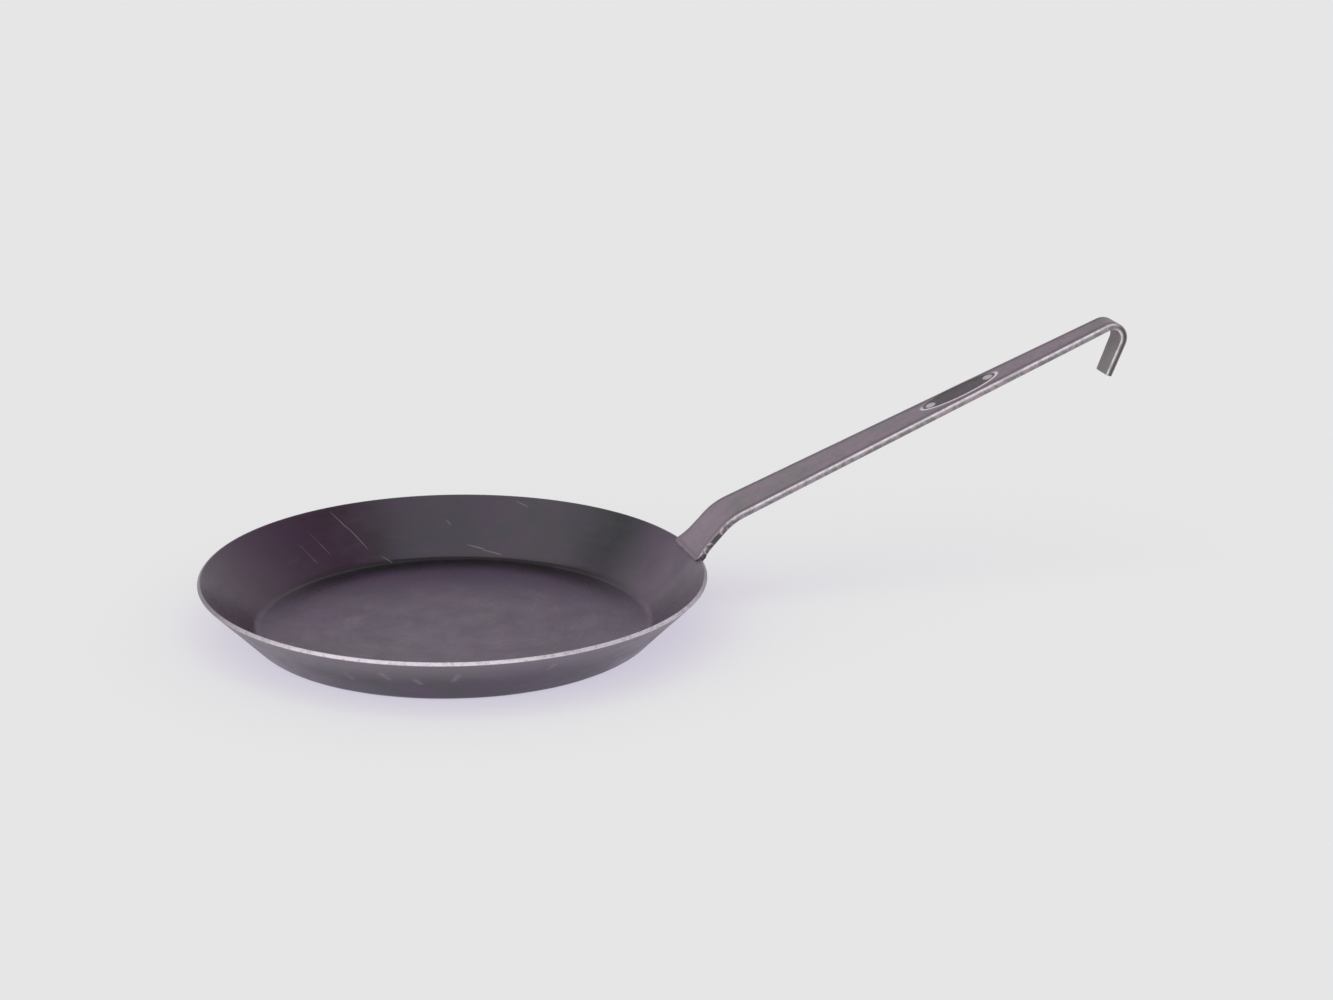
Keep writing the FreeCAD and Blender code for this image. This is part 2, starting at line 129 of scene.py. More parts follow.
def run(start, end, count):
    """Points from start to end, without the end."""
    return start + np.linspace(0, 1, count, endpoint=False)[:, None] * (np.asarray(end) - start)


def arc(centre, radius, first, last, count):
    """Points of an arc from one angle to another, both ends included."""
    return centre + radius * heading(np.linspace(first, last, count))


# The bend between the floor and the wall turns about CORNER, and the flat floor ends under it.
WALL_RISE = RIM_HEIGHT - CORNER_RADIUS * (1 - math.cos(math.radians(WALL_ANGLE)))
WALL_FOOT = RIM_OUTER - WALL * WALL_RISE / math.sin(math.radians(WALL_ANGLE))
CORNER = WALL_FOOT + WALL_NORMAL * CORNER_RADIUS
FLOOR_RADIUS = CORNER[0]
PAN_STEP = 0.75  # degrees between the points of a ring


def pan_section():
    """Half section of the sheet, from the middle of the underside to the middle of the floor."""
    first_ring = 2.0  # radius of the innermost rings, which each close on one point
    lip_strip = WALL * 0.4  # short strips beside the rim, which keep its shading crisp
    inner_radius = CORNER_RADIUS - SHEET
    outer_round = RIM_OUTER + (WALL_NORMAL - WALL) * RIM_ROUNDING
    inner_round = RIM_INNER - (WALL_NORMAL + WALL) * RIM_ROUNDING
    outer_foot = arc(CORNER, CORNER_RADIUS, -90, WALL_ANGLE - 90, 12)
    outer_lip = arc(outer_round, RIM_ROUNDING, WALL_ANGLE - 90, WALL_ANGLE, 6)
    inner_lip = arc(inner_round, RIM_ROUNDING, WALL_ANGLE, WALL_ANGLE + 90, 6)
    inner_foot = arc(CORNER, inner_radius, WALL_ANGLE - 90, -90, 12)
    floor_rings, wall_rings, lip_rings = 40, 22, 5
    return np.concatenate(
        [
            run(np.array([first_ring, 0]), outer_foot[0], floor_rings),
            outer_foot[:-1],
            run(outer_foot[-1], outer_lip[0] - lip_strip, wall_rings),
            run(outer_lip[0] - lip_strip, outer_lip[0], 1),
            outer_lip,
            run(outer_lip[-1], inner_lip[0], lip_rings)[1:],
            inner_lip,
            run(inner_lip[-1], inner_lip[-1] - lip_strip, 2)[1:],
            run(inner_lip[-1] - lip_strip, inner_foot[0], wall_rings),
            inner_foot,
            run(inner_foot[-1], np.array([first_ring, SHEET]), floor_rings)[1:],
            np.array([[first_ring, SHEET]]),
        ]
    )


def press_waves(rings, radius, height, turns):
    """Lift the rings inwards by the slight waves of pressed sheet, away from the rim."""
    flat_edge = RIM_RADIUS - RIM_HEIGHT / math.tan(math.radians(WALL_ANGLE))
    tilt = np.radians(WALL_ANGLE) * smooth_step(radius, flat_edge - 3, flat_edge + 5)
    inward = np.stack(
        [-np.sin(tilt) * np.cos(turns), -np.sin(tilt) * np.sin(turns), np.cos(tilt) + 0 * turns],
        axis=-1,
    )
    plan = rings * (1, 1, 0)
    wave = BROAD_WAVE * (1 + uneven(plan, 55.0, 3.0)) + SMALL_WAVE * (1 + uneven(plan, 17.0, 8.0))
    fade = 1 - smooth_step(height, RIM_HEIGHT - 16, RIM_HEIGHT - 4)
    return rings + inward * (wave * fade)[..., None]


def make_pan(material):
    """The dish, turned about Z. Its rim, inside and dark corner are marked for the material."""
    section = pan_section()
    turns = np.radians(np.arange(0, 360, PAN_STEP))
    radius, height = section[:, :1], section[:, 1:]
    rings = np.stack(
        [radius * np.cos(turns), radius * np.sin(turns), height + 0 * turns], axis=-1
    )
    shape = skin(press_waves(rings, radius, height, turns))
    edge = smooth_step((section - RIM_INNER) @ WALL, -1.1, -0.1)
    inside = 1.0 * (np.arange(len(section)) > section[:, 1].argmax())
    out = section[:, 0]
    corner = inside * smooth_step(out, FLOOR_RADIUS - 22, FLOOR_RADIUS - 3)
    corner = corner * (1 - smooth_step(out, FLOOR_RADIUS + 1.5, FLOOR_RADIUS + 6.5))
    attributes = {
        "edge": np.concatenate([np.repeat(edge, len(turns)), [0, 0]]),
        "inside": np.concatenate([np.repeat(inside, len(turns)), [0, 1]]),
        "corner": np.concatenate([np.repeat(corner, len(turns)), [0, 0]]),
    }
    add_piece("pan", "pan", material, [shape], attributes)


# Points of the bar's rings: across each face, down each side and round the edges.
FACE_POINTS, SIDE_POINTS = 56, 9
FACE_SHARES = np.linspace(1, -1, FACE_POINTS + 2)[None, 1:-1]
SIDE_SHARES = np.linspace(1, -1, SIDE_POINTS + 2)[None, 1:-1]
ROUNDING_STEPS = BAR_ROUNDING * (1 - np.cos(np.linspace(0, np.pi / 2, 7)))

# Top corner of the bar's end, inside the rim.
BAR_CORNER = RIM_INNER - WALL * LAP_LENGTH + WALL_NORMAL * LAP_THICKNESS
# Length and radius of the bar's straight runs and of the arcs that turn it downwards.
BAR_RUNS = (
    (LOWER_LEG, None),
    (BEND_RADIUS * math.radians(WALL_ANGLE - LONG_RUN_ANGLE), BEND_RADIUS),
    (LONG_RUN, None),
    (HOOK_RADIUS * math.radians(HOOK_TURN), HOOK_RADIUS),
    (HOOK_END, None),
)
BAR_LENGTH = sum(length for length, _ in BAR_RUNS)
LONG_RUN_START = BAR_RUNS[0][0] + BAR_RUNS[1][0]
HOOK_START = LONG_RUN_START + LONG_RUN


def bar_line(along):
    """Points of the bar's middle line and its direction in degrees, at distances from its end."""
    points, angles = np.zeros((len(along), 2)), np.zeros(len(along))
    start, point, angle = 0.0, BAR_CORNER - WALL_NORMAL * BAR_HALF, WALL_ANGLE
    for length, radius in BAR_RUNS:
        here = along >= start
        local = along[here] - start
        if radius is None:
            points[here] = point + local[:, None] * heading(angle)
            angles[here] = angle
            point = point + length * heading(angle)
        else:
            turned = angle - np.degrees(local / radius)
            centre = point - radius * heading(angle + 90)
            points[here] = centre + radius * heading(turned + 90)
            angles[here] = turned
            angle = angle - math.degrees(length / radius)
            point = centre + radius * heading(angle + 90)
        start += length
    return points, angles


def taper(reach):
    """Width of the tapered bar at a distance from its end, measured along the lower leg."""
    ends, _ = bar_line(np.array([LONG_RUN_START, HOOK_START]))
    bend, hook = (ends - BAR_CORNER) @ WALL
    return WIDTH_AT_BEND + (reach - bend) / (hook - bend) * (WIDTH_AT_HOOK - WIDTH_AT_BEND)


# Plan of the hammered end: a hollow flank that runs into a rounded corner.
FLARE_WIDTH = taper(FLARE_LENGTH)
FLARE_LEAN = math.atan((taper(0.0) - FLARE_WIDTH) / FLARE_LENGTH / 2)
FLANK_CENTRE = (
    FLARE_LENGTH + FLARE_RADIUS * math.sin(FLARE_LEAN),
    FLARE_WIDTH / 2 + FLARE_RADIUS * math.cos(FLARE_LEAN),
)
CORNER_OUT = FLANK_CENTRE[1] - math.sqrt(
    (FLARE_RADIUS + FLARE_CORNER) ** 2 - (FLANK_CENTRE[0] - FLARE_CORNER) ** 2
)
CORNER_SHARE = FLARE_RADIUS / (FLARE_RADIUS + FLARE_CORNER)
FLANK_START = FLANK_CENTRE[0] + (FLARE_CORNER - FLANK_CENTRE[0]) * CORNER_SHARE


def half_width(along, points):
    """Half of the bar's width in plan at each distance from its end."""
    reach = (points - BAR_CORNER) @ WALL
    half = taper(reach) / 2
    last = np.interp(along, [HOOK_START, BAR_LENGTH], [WIDTH_AT_HOOK, WIDTH_AT_TIP]) / 2
    half = np.where(along > HOOK_START, last, half)
    lean = np.sqrt(np.clip(FLARE_RADIUS**2 - (along - FLANK_CENTRE[0]) ** 2, 0, None))
    half = np.where(along < FLARE_LENGTH, FLANK_CENTRE[1] - lean, half)
    corner = CORNER_OUT + np.sqrt(np.clip(FLARE_CORNER**2 - (FLARE_CORNER - along) ** 2, 0, None))
    half = np.where(along < FLANK_START, corner, half)
    from_tip = np.clip(BAR_ROUNDING - (BAR_LENGTH - along), 0, None)
    return half - BAR_ROUNDING + np.sqrt(np.clip(BAR_ROUNDING**2 - from_tip**2, 0, None))


def bar_stations():
    """Distances from the bar's end, closer together at both ends, at the seat and at the oval."""
    oval = LONG_RUN_START + OVAL_DISTANCE
    margin, seat_end = 2.0, 8.0
    oval_start, oval_end = oval - OVAL_LENGTH / 2 - margin, oval + OVAL_LENGTH / 2 + margin
    return np.concatenate(
        [
            ROUNDING_STEPS[:-1],
            np.arange(BAR_ROUNDING, seat_end, 0.3),
            np.arange(seat_end, oval_start, 0.8),
            np.arange(oval_start, oval_end, 0.35),
            np.arange(oval_end, HOOK_START, 0.8),
            np.arange(HOOK_START, BAR_LENGTH - BAR_ROUNDING, 0.6),
            BAR_LENGTH - ROUNDING_STEPS[::-1],
        ]
    )


def edge_distance(along, across, half):
    """Distance of points of the bar's plan from its outline."""
    slope = np.gradient(half[:, 0], along[:, 0])[:, None]
    side = (half - np.abs(across)) / np.sqrt(1 + slope**2)
    distance = np.minimum(side, np.minimum(along, BAR_LENGTH - along))
    out = np.clip(np.abs(across) - CORNER_OUT, 0, None)
    corner = FLARE_CORNER - np.hypot(FLARE_CORNER - along, out)
    in_corner = (along < FLARE_CORNER) & (out > 0)
    distance = np.where(in_corner, corner, distance)
    tip_along = BAR_ROUNDING - (BAR_LENGTH - along)
    tip_out = BAR_ROUNDING - (half - np.abs(across))
    at_tip = (tip_along > 0) & (tip_out > 0)
    return np.where(at_tip, BAR_ROUNDING - np.hypot(tip_along, tip_out), distance)


def rounded(distance, radius):
    """Half thickness of the bar at a distance from its outline, with rounded edges."""
    depth = np.clip(radius - distance, 0, radius)
    return BAR_HALF - radius + np.sqrt(radius**2 - depth**2)


def oval_distance(along, across):
    """Signed distance inside the outline of the oval stamp."""
    x = (along - LONG_RUN_START - OVAL_DISTANCE) / (OVAL_LENGTH / 2)
    y = (across - OVAL_OFFSET) / (OVAL_WIDTH / 2)
    level = np.hypot(x, y)
    steepness = np.hypot(x / (OVAL_LENGTH / 2), y / (OVAL_WIDTH / 2)) / np.maximum(level, 1e-6)
    return (1 - level) / np.maximum(steepness, 1e-6)


def seat(points):
    """Lift the points of the bar's underside that lie in the pan's wall onto the wall."""
    radius = np.hypot(points[..., 0], points[..., 1])
    section = np.stack([radius, points[..., 2]], axis=-1) - RIM_INNER
    depth = np.where(section @ WALL < 0, np.clip(-(section @ WALL_NORMAL), 0, SHEET), 0)
    lifted = points.copy()
    lifted[..., 0] += depth * WALL_NORMAL[0] * points[..., 0] / radius
    lifted[..., 1] += depth * WALL_NORMAL[0] * points[..., 1] / radius
    lifted[..., 2] += depth * WALL_NORMAL[1]
    return lifted


def bar_plan(stations, points):
    """Plan of the bar's faces, its uneven half widths, and each point's distance from the edge."""
    half = half_width(stations, points)[:, None]
    wander = np.stack([stations, 0 * stations, 0 * stations], axis=-1)
    near = half - SIDE_WANDER * (1 + uneven(wander, 9.0, 1.0)[:, None])
    far = half - SIDE_WANDER * (1 + uneven(wander, 9.0, 5.0)[:, None])
    inner_far, inner_near = far - BAR_ROUNDING, near - BAR_ROUNDING
    middle = np.where(FACE_SHARES > 0, FACE_SHARES * inner_far, FACE_SHARES * inner_near)
    face = np.concatenate([far - ROUNDING_STEPS, middle, -(near - ROUNDING_STEPS[::-1])], axis=1)
    along = np.repeat(stations[:, None], face.shape[1], axis=1)
    distance = edge_distance(along, face, np.where(face > 0, far, near))
    return along, face, near, far, distance


def oval_marks(along, face):
    """Distance inside the oval, and shares for its raised border and the spots at its ends."""
    inside = oval_distance(along, face)
    ridge = smooth_step(inside, -1.5, -0.8) * (1 - smooth_step(inside, 0.4, 1.0))
    oval_along = along - LONG_RUN_START - OVAL_DISTANCE
    boss_distance = np.hypot(np.abs(oval_along) - OVAL_BOSS_PLACE, face - OVAL_OFFSET)
    boss = 1 - smooth_step(boss_distance, OVAL_BOSS_RADIUS - 1.2, OVAL_BOSS_RADIUS)
    return inside, ridge, boss


def dented(height, dents, fade):
    """Sink a face by its dents, which fade out over the rounded edge."""
    return height - dents * smooth_step(height, BAR_HALF - fade, BAR_HALF - 0.05)


def bar_heights(along, face, distance, oval):
    """Height of the top face and depth of the underside, with hammer dents and the stamp."""
    inside, ridge, boss = oval
    place = np.stack([along, face, 0 * face], axis=-1)
    hammered = 1 - smooth_step(along, HAMMERED_START, HAMMERED_END)
    dents = ROLLED_DENT + HAMMERED_DENT * hammered
    top = rounded(distance, BAR_ROUNDING)
    top = dented(top, dents * (1 + uneven(place, 7.0, 2.0)), 0.55)
    under = rounded(distance, UNDERSIDE_ROUNDING)
    under = dented(under, dents * (1 + uneven(place, 8.0, 6.0)), 0.3)
    sunk = OVAL_DEPTH * smooth_step(inside, 0.0, 0.7)
    return top - sunk + RIDGE_HEIGHT * ridge + BOSS_HEIGHT * boss, under


def bar_rings(face, near, far, top, under):
    """Place across and height of the points of each ring: top, near side, underside, far side."""
    side_top, side_under = top[:, -1:], -under[:, -1:]
    near_side = side_under + (side_top - side_under) * (SIDE_SHARES + 1) / 2
    near_edge, far_edge = (np.repeat(edge, SIDE_POINTS, axis=1) for edge in (-near, far))
    across = np.concatenate([face, near_edge, face[:, ::-1], far_edge], axis=1)
    up = np.concatenate([top, near_side, -under[:, ::-1], near_side[:, ::-1]], axis=1)
    return across, up


def bar_marks(stations, face, distance, oval):
    """Values for the handle's material at the points of each ring, in the same order."""
    inside, ridge, boss = oval
    nothing, no_side = 0 * face, np.zeros((len(stations), SIDE_POINTS))
    far_from_edge = 9.0
    on_hook = smooth_step(stations, HOOK_START + 1, HOOK_START + 10)[:, None]
    worn_face = 1 - smooth_step(distance, 0.0, 0.32)
    worn_top, worn_under = worn_face * (1 - on_hook), worn_face[:, ::-1] * (0.2 + 0.8 * on_hook)
    worn_side = (1 - on_hook) * (1 - smooth_step(SIDE_SHARES, 0.85, 0.1))
    worn_side = worn_side + on_hook * smooth_step(SIDE_SHARES, -0.2, -0.9)
    scale_top = on_hook * smooth_step(1.2 - distance, 0, 0.7)
    scale_side = on_hook * smooth_step(SIDE_SHARES, -0.5, 0.3)
    # Painted highlight: the near half of the stamp's raised border is marked bright, where light
    # falls on it.
    near_ridge = ridge * smooth_step(OVAL_OFFSET - face, -4.0, 1.5)
    stamp = smooth_step(inside, 0.3, 0.9) * (1 - 0.8 * boss)
    rows = {
        "worn": [worn_top, worn_side, worn_under, worn_side[:, ::-1]],
        "scale": [scale_top, scale_side, nothing, scale_side[:, ::-1]],
        "inset": [distance, no_side, nothing + far_from_edge, no_side],
        "stamp": [stamp, no_side, nothing, no_side],
        "stamp_highlight_and_wear": [np.maximum(near_ridge, 0.5 * boss), no_side, nothing, no_side],
        "side": [nothing, 1 + no_side, nothing, 1 + no_side],
    }
    return {
        name: np.concatenate([np.concatenate(blocks, axis=1).ravel(), [0, 0]])
        for name, blocks in rows.items()
    }


def make_handle(material):
    """Flat bar swept along its middle line, with rounded edges, hammered end and oval stamp."""
    stations = bar_stations()
    points, angles = bar_line(stations)
    along, face, near, far, distance = bar_plan(stations, points)
    oval = oval_marks(along, face)
    top, under = bar_heights(along, face, distance, oval)
    across, up = bar_rings(face, near, far, top, under)
    section = points[:, None] + up[..., None] * heading(angles + 90)[:, None]
    rings = np.stack([section[..., 0], across, section[..., 1]], axis=-1)
    attributes = bar_marks(stations, face, distance, oval)
    grain = np.stack([np.repeat(stations[:, None], across.shape[1], axis=1), across, up], axis=-1)
    attributes["grain"] = np.concatenate([grain.reshape(-1, 3) * MM, np.zeros((2, 3))])
    shape = skin(seat(rings))
    add_piece("handle", "handle", material, [shape], attributes)


def bead(path, radius, ripple):
    """A weld bead: round rings square to a path, with the ripples of the weld pool."""
    ring_points, ripple_length = 28, 1.5
    ahead = np.gradient(path, axis=0)
    ahead /= np.linalg.norm(ahead, axis=1)[:, None]
    across = np.cross(ahead, (0.0, 0.0, 1.0))
    across /= np.linalg.norm(across, axis=1)[:, None]
    upward = np.cross(across, ahead)
    lengths = np.linalg.norm(np.diff(path, axis=0), axis=1)
    distance = np.concatenate([[0], np.cumsum(lengths)])
    turns = np.linspace(0, 2 * np.pi, ring_points, endpoint=False)
    from_end = np.clip(np.minimum(distance, distance[-1] - distance) / radius, 0, 1)
    round_end = np.sqrt(np.clip(1 - (1 - from_end) ** 2, 0, 1))
    phase = 2 * np.pi * distance[:, None] / ripple_length + np.cos(turns)
    waves = 1 - ripple * (0.5 + 0.5 * np.sin(phase))
    rings = (
        np.cos(turns)[None, :, None] * across[:, None]
        + np.sin(turns)[None, :, None] * upward[:, None]
    )
    lumps = 1 - 0.06 * (1 + uneven(path[:, None] + rings * radius, 1.3, 4.0))
    reach = radius * np.maximum(round_end, 0.04)[:, None] * waves * lumps
    return skin(path[:, None] + rings * reach[..., None])


def make_under_weld(material):
    """Bead along the outer edge of the rim, under the bar."""
    sweep = math.radians(UNDER_WELD_SWEEP / 2) + UNDER_WELD_RADIUS / RIM_RADIUS
    turns = np.linspace(-sweep, sweep, 140)
    path = np.stack(
        [RIM_RADIUS * np.cos(turns), RIM_RADIUS * np.sin(turns), RIM_HEIGHT + 0 * turns], axis=-1
    )
    parts = [bead(path, UNDER_WELD_RADIUS, 0.07)]
    add_piece("under_weld", "under_weld", material, parts)


def make_side_welds(material):
    """A short bead on each side of the bar's end, across the inner edge of the rim."""
    low = SIDE_WELD_ABOVE - SIDE_WELD_LENGTH - SIDE_WELD_RADIUS
    high = SIDE_WELD_ABOVE + SIDE_WELD_RADIUS
    count = 60
    parts = []
    for side in (-1, 1):
        section = RIM_INNER + np.linspace(low, high, count)[:, None] * WALL
        across = np.full(count, side * SIDE_WELD_SPACING / 2)
        path = np.stack([section[:, 0], across, section[:, 1]], axis=-1)
        parts.append(bead(path, SIDE_WELD_RADIUS, 0.08))
    add_piece("side_welds", "side_welds", material, parts)


# Materials ---------------------------------------------------------------------------------


class Shader:
    """The nodes of a new material or world, and short ways to add to them."""

    def __init__(self, owner, surface="Principled BSDF"):
        owner.use_nodes = True
        self.owner = owner
        self.tree = owner.node_tree
        self.surface = self.tree.nodes[surface]

    def add(self, kind, settings=None, inputs=None, output=0):
        """Add a node, set its settings, and set or link its inputs. Returns one output."""
        node = self.tree.nodes.new(kind)
        for name, value in (settings or {}).items():
            setattr(node, name, value)
        for name, value in (inputs or {}).items():
            self.join(node.inputs[name], value)
        return node.outputs[output]

    def join(self, socket, value):
        """Link an output to a socket, or set the socket to a constant."""
        if isinstance(value, bpy.types.NodeSocket):
            self.tree.links.new(value, socket)
        else:
            socket.default_value = value

    def object_place(self):
        """The point's place on the object, in metres."""
        return self.add("ShaderNodeTexCoord", output="Object")

    def attribute(self, name, output="Fac"):
        return self.add("ShaderNodeAttribute", {"attribute_name": name}, output=output)

    def calc(self, operation, first, second=0.0):
        return self.add("ShaderNodeMath", {"operation": operation}, {0: first, 1: second})

    def vector_calc(self, operation, first, second, output=0):
        settings = {"operation": operation}
        return self.add("ShaderNodeVectorMath", settings, {0: first, 1: second}, output)

    def product(self, first, *others):
        for other in others:
            first = self.calc("MULTIPLY", first, other)
        return first

    def rest(self, share):
        """What a share leaves of 1."""
        return self.calc("SUBTRACT", 1.0, share)

    def stretch(self, vector, scale):
        return self.vector_calc("MULTIPLY", vector, scale)

    def noise(self, vector, size, detail=4.0, roughness=0.55, distortion=0.0):
        """Noise from 0 to 1 with features of about a size, in metres."""
        inputs = {
            "Vector": vector,
            "Scale": 1 / size,
            "Detail": detail,
            "Roughness": roughness,
            "Distortion": distortion,
        }
        return self.add("ShaderNodeTexNoise", {}, inputs)

    def ramp(self, value, low, high, start=0.0, end=1.0):
        """Smooth step from start to end as a value goes from low to high."""
        inputs = {"Value": value, 1: low, 2: high, 3: start, 4: end}
        return self.add("ShaderNodeMapRange", {"interpolation_type": "SMOOTHSTEP"}, inputs)

    def mix(self, share, first, second):
        """Mix of two colours."""
        return self.add("ShaderNodeMix", {"data_type": "RGBA"}, {0: share, 6: first, 7: second}, 2)

    def bump(self, *layers):
        """Normal for layers of bumps, each with a height from 0 to 1, a depth and a strength."""
        normal = None
        for height, depth, strength in layers:
            inputs = {"Height": height, "Distance": depth, "Strength": strength}
            if normal is not None:
                inputs["Normal"] = normal
            normal = self.add("ShaderNodeBump", {}, inputs)
        self.set(Normal=normal)

    def set(self, **inputs):
        """Set or link inputs of the surface, with underscores for the spaces in their names."""
        for name, value in inputs.items():
            self.join(self.surface.inputs[name.replace("_", " ")], value)


def colour(red, green, blue):
    """A linear colour, opaque."""
    return (red, green, blue, 1.0)


# The pan's colours: the blued skin, its tints on the wall, the floor, the marks of use, and
# painted light: light on the right-hand wall, a reflection of the floor on the outer wall, and a
# highlight on the rim.
PURPLE, GREEN_GREY = colour(0.036, 0.012, 0.040), colour(0.016, 0.017, 0.017)
BLUE_GREY, BROWN = colour(0.013, 0.014, 0.030), colour(0.016, 0.003, 0.012)
WALL_GREEN, WALL_PURPLE = colour(0.015, 0.018, 0.018), colour(0.040, 0.010, 0.042)
# The second colour is a paler purple for the right-hand wall, which also paints the light falling
# on that wall from the left.
WALL_BLUE, LIT_WALL_TINT = colour(0.006, 0.007, 0.014), colour(0.105, 0.080, 0.110)
SCOURED, CLOUDED = colour(0.082, 0.050, 0.096), colour(0.034, 0.022, 0.038)
RING_TONE, SPECK_TONE = colour(0.055, 0.045, 0.060), colour(0.008, 0.006, 0.008)
# The second colour is a painted reflection of the bright floor on the upper outer wall.
SOOT, PAINTED_REFLECTION = colour(0.004, 0.003, 0.004), colour(0.125, 0.100, 0.130)
SCRATCH, SCUFF = colour(0.15, 0.14, 0.15), colour(0.24, 0.20, 0.23)
# Bright steel of the worn rim edge, which also serves as a painted highlight along the rim's near
# side.
BARE_AND_LIT_RIM, SKIN_SHINE = colour(0.54, 0.49, 0.54), colour(1.0, 0.88, 1.0)

# Azimuths that the uneven tints, the wear and the painted light are strongest at, in degrees from
# the handle: the rim's painted highlight and the outer wall's painted reflection peak on the side
# towards the camera, and the paler tint with its painted light on the right-hand wall.
RIM_HIGHLIGHT_AZIMUTH, REFLECTION_AZIMUTH, LIT_WALL_AZIMUTH = -96.0, -104.0, -12.0
BROWN_AZIMUTH, SOOT_AZIMUTH, PURPLE_AZIMUTH = 128.0, 76.0, 172.0
BLUE_AZIMUTH, GREEN_AZIMUTH = 80.0, 45.0

# Light marks on the wall: azimuth in degrees and height in mm of both ends.
SCRATCHES = (
    (107.5, 31.0, 104.0, 20.0),
    (104.5, 22.5, 100.5, 9.5),
    (98.0, 7.0, 94.5, 2.5),
    (120.5, 20.0, 118.0, 8.5),
    (115.8, 24.0, 112.5, 10.5),
    (72.0, 9.0, 66.0, 6.8),
    (67.5, 6.8, 60.5, 4.6),
    (77.4, 20.5, 76.2, 18.0),
    (60.0, 30.0, 56.0, 27.5),
)
SCUFFS = (
    (-131.0, 19.0, -129.5, 12.5),
    (-121.5, 23.0, -119.5, 16.0),
    (-114.0, 19.5, -112.0, 13.5),
    (-103.0, 24.0, -105.0, 15.5),
    (-81.0, 25.0, -82.5, 19.5),
)
STROKE_CORE, SCRATCH_EDGE, SCUFF_EDGE = 0.0001, 0.0005, 0.0028  # half widths in metres


class PanSkin(Shader):
    """A shader that knows where a point lies on the dish, and the noises that its looks share."""

    def __init__(self, name):
        super().__init__(bpy.data.materials.new(name))
        self.place = self.object_place()
        split = self.add("ShaderNodeSeparateXYZ", inputs={0: self.place})
        self.x, self.y, self.height = split.node.outputs
        squares = self.calc("ADD", self.product(self.x, self.x), self.product(self.y, self.y))
        self.radius = self.calc("SQRT", squares)
        self.azimuth = self.calc("ARCTAN2", self.y, self.x)
        self.wall = self.ramp(self.radius, FLOOR_RADIUS * MM, (FLOOR_RADIUS + 4) * MM)
        self.inside = self.attribute("inside")
        self.outside = self.rest(self.inside)
        self.cloud = self.noise(self.place, 0.020, detail=6.0, roughness=0.6, distortion=0.3)
        self.speck = self.noise(self.place, 0.0022, roughness=0.7)
        circling = self.circling_place()
        self.rings = self.noise(circling, 0.0021, detail=5.0, roughness=0.65)
        self.broad_rings = self.noise(circling, 0.009, detail=3.0, roughness=0.6)

    def circling_place(self):
        """A place that changes fast across circles and slowly along them, as scouring does."""
        around = 0.012
        from_middle = self.calc("MAXIMUM", self.radius, 0.004)
        x = self.product(self.calc("DIVIDE", self.x, from_middle), around)
        y = self.product(self.calc("DIVIDE", self.y, from_middle), around)
        return self.add("ShaderNodeCombineXYZ", inputs={0: x, 1: y, 2: self.radius})

    def towards(self, degrees, low, high, least=0.0):
        """A share that grows from least to 1 towards one azimuth, between two cosines."""
        turn = self.calc("SUBTRACT", self.azimuth, math.radians(degrees))
        return self.ramp(self.calc("COSINE", turn), low, high, least, 1.0)

    def wall_towards(self, degrees, low, high):
        return self.product(self.towards(degrees, low, high), self.wall)

    def strokes(self, ends, edge):
        """Straight strokes on the developed wall, fading at their ends and across their width."""
        rise = 1 / math.sin(math.radians(WALL_ANGLE))
        around = self.product(self.azimuth, RIM_RADIUS * MM)
        slant = self.product(self.height, rise)
        spot = self.add("ShaderNodeCombineXYZ", inputs={0: around, 1: slant})
        total = 0.0
        for first_turn, first_height, last_turn, last_height in ends:
            start = Vector((math.radians(first_turn) * RIM_RADIUS, first_height * rise, 0)) * MM
            end = Vector((math.radians(last_turn) * RIM_RADIUS, last_height * rise, 0)) * MM
            step = end - start
            side = Vector((-step.y, step.x, 0)).normalized()
            offset = self.vector_calc("SUBTRACT", spot, start)
            share = self.vector_calc("DOT_PRODUCT", offset, step / step.length_squared, "Value")
            apart = self.vector_calc("DOT_PRODUCT", offset, side, "Value")
            line = self.ramp(self.calc("ABSOLUTE", apart), STROKE_CORE, edge, 1.0, 0.0)
            fade = self.ramp(self.product(share, self.rest(share)), 0.0, 0.16)
            total = self.calc("MAXIMUM", self.product(line, fade), total)
        return total


def blued_skin(skin, blue):
    """The skin before use: patches, the tints on the wall with painted light on the right-hand
    wall, and the paler scoured floor.
    """
    patches = skin.noise(skin.place, 0.040, distortion=0.6)
    stretched = skin.stretch(skin.place, (1.0, 1.0, 1.7))
    tints = skin.noise(stretched, 0.023, roughness=0.6, distortion=0.4)
    base = skin.mix(skin.ramp(patches, 0.42, 0.60), GREEN_GREY, PURPLE)
    base = skin.mix(skin.ramp(tints, 0.48, 0.66), base, BLUE_GREY)
    brown = skin.towards(BROWN_AZIMUTH, 0.72, 0.97)
    brown = skin.product(brown, skin.ramp(skin.cloud, 0.25, 0.6, 0.6, 1.0), skin.wall)
    green = skin.product(skin.wall_towards(GREEN_AZIMUTH, 0.7, 1.0), 0.65)
    purple = skin.product(skin.wall_towards(PURPLE_AZIMUTH, 0.3, 0.95), 0.6)
    floor = skin.product(skin.rest(skin.wall), 0.6)
    # Paler purple on the right-hand wall, which also paints the light falling on it from the left.
    pale = skin.product(skin.wall_towards(LIT_WALL_AZIMUTH, 0.75, 1.0), 0.6)
    base = skin.mix(brown, base, BROWN)
    base = skin.mix(green, base, WALL_GREEN)
    base = skin.mix(purple, base, WALL_PURPLE)
    base = skin.mix(skin.product(blue, 0.7), base, WALL_BLUE)
    base = skin.mix(floor, base, SCOURED)
    return skin.mix(pale, base, LIT_WALL_TINT)


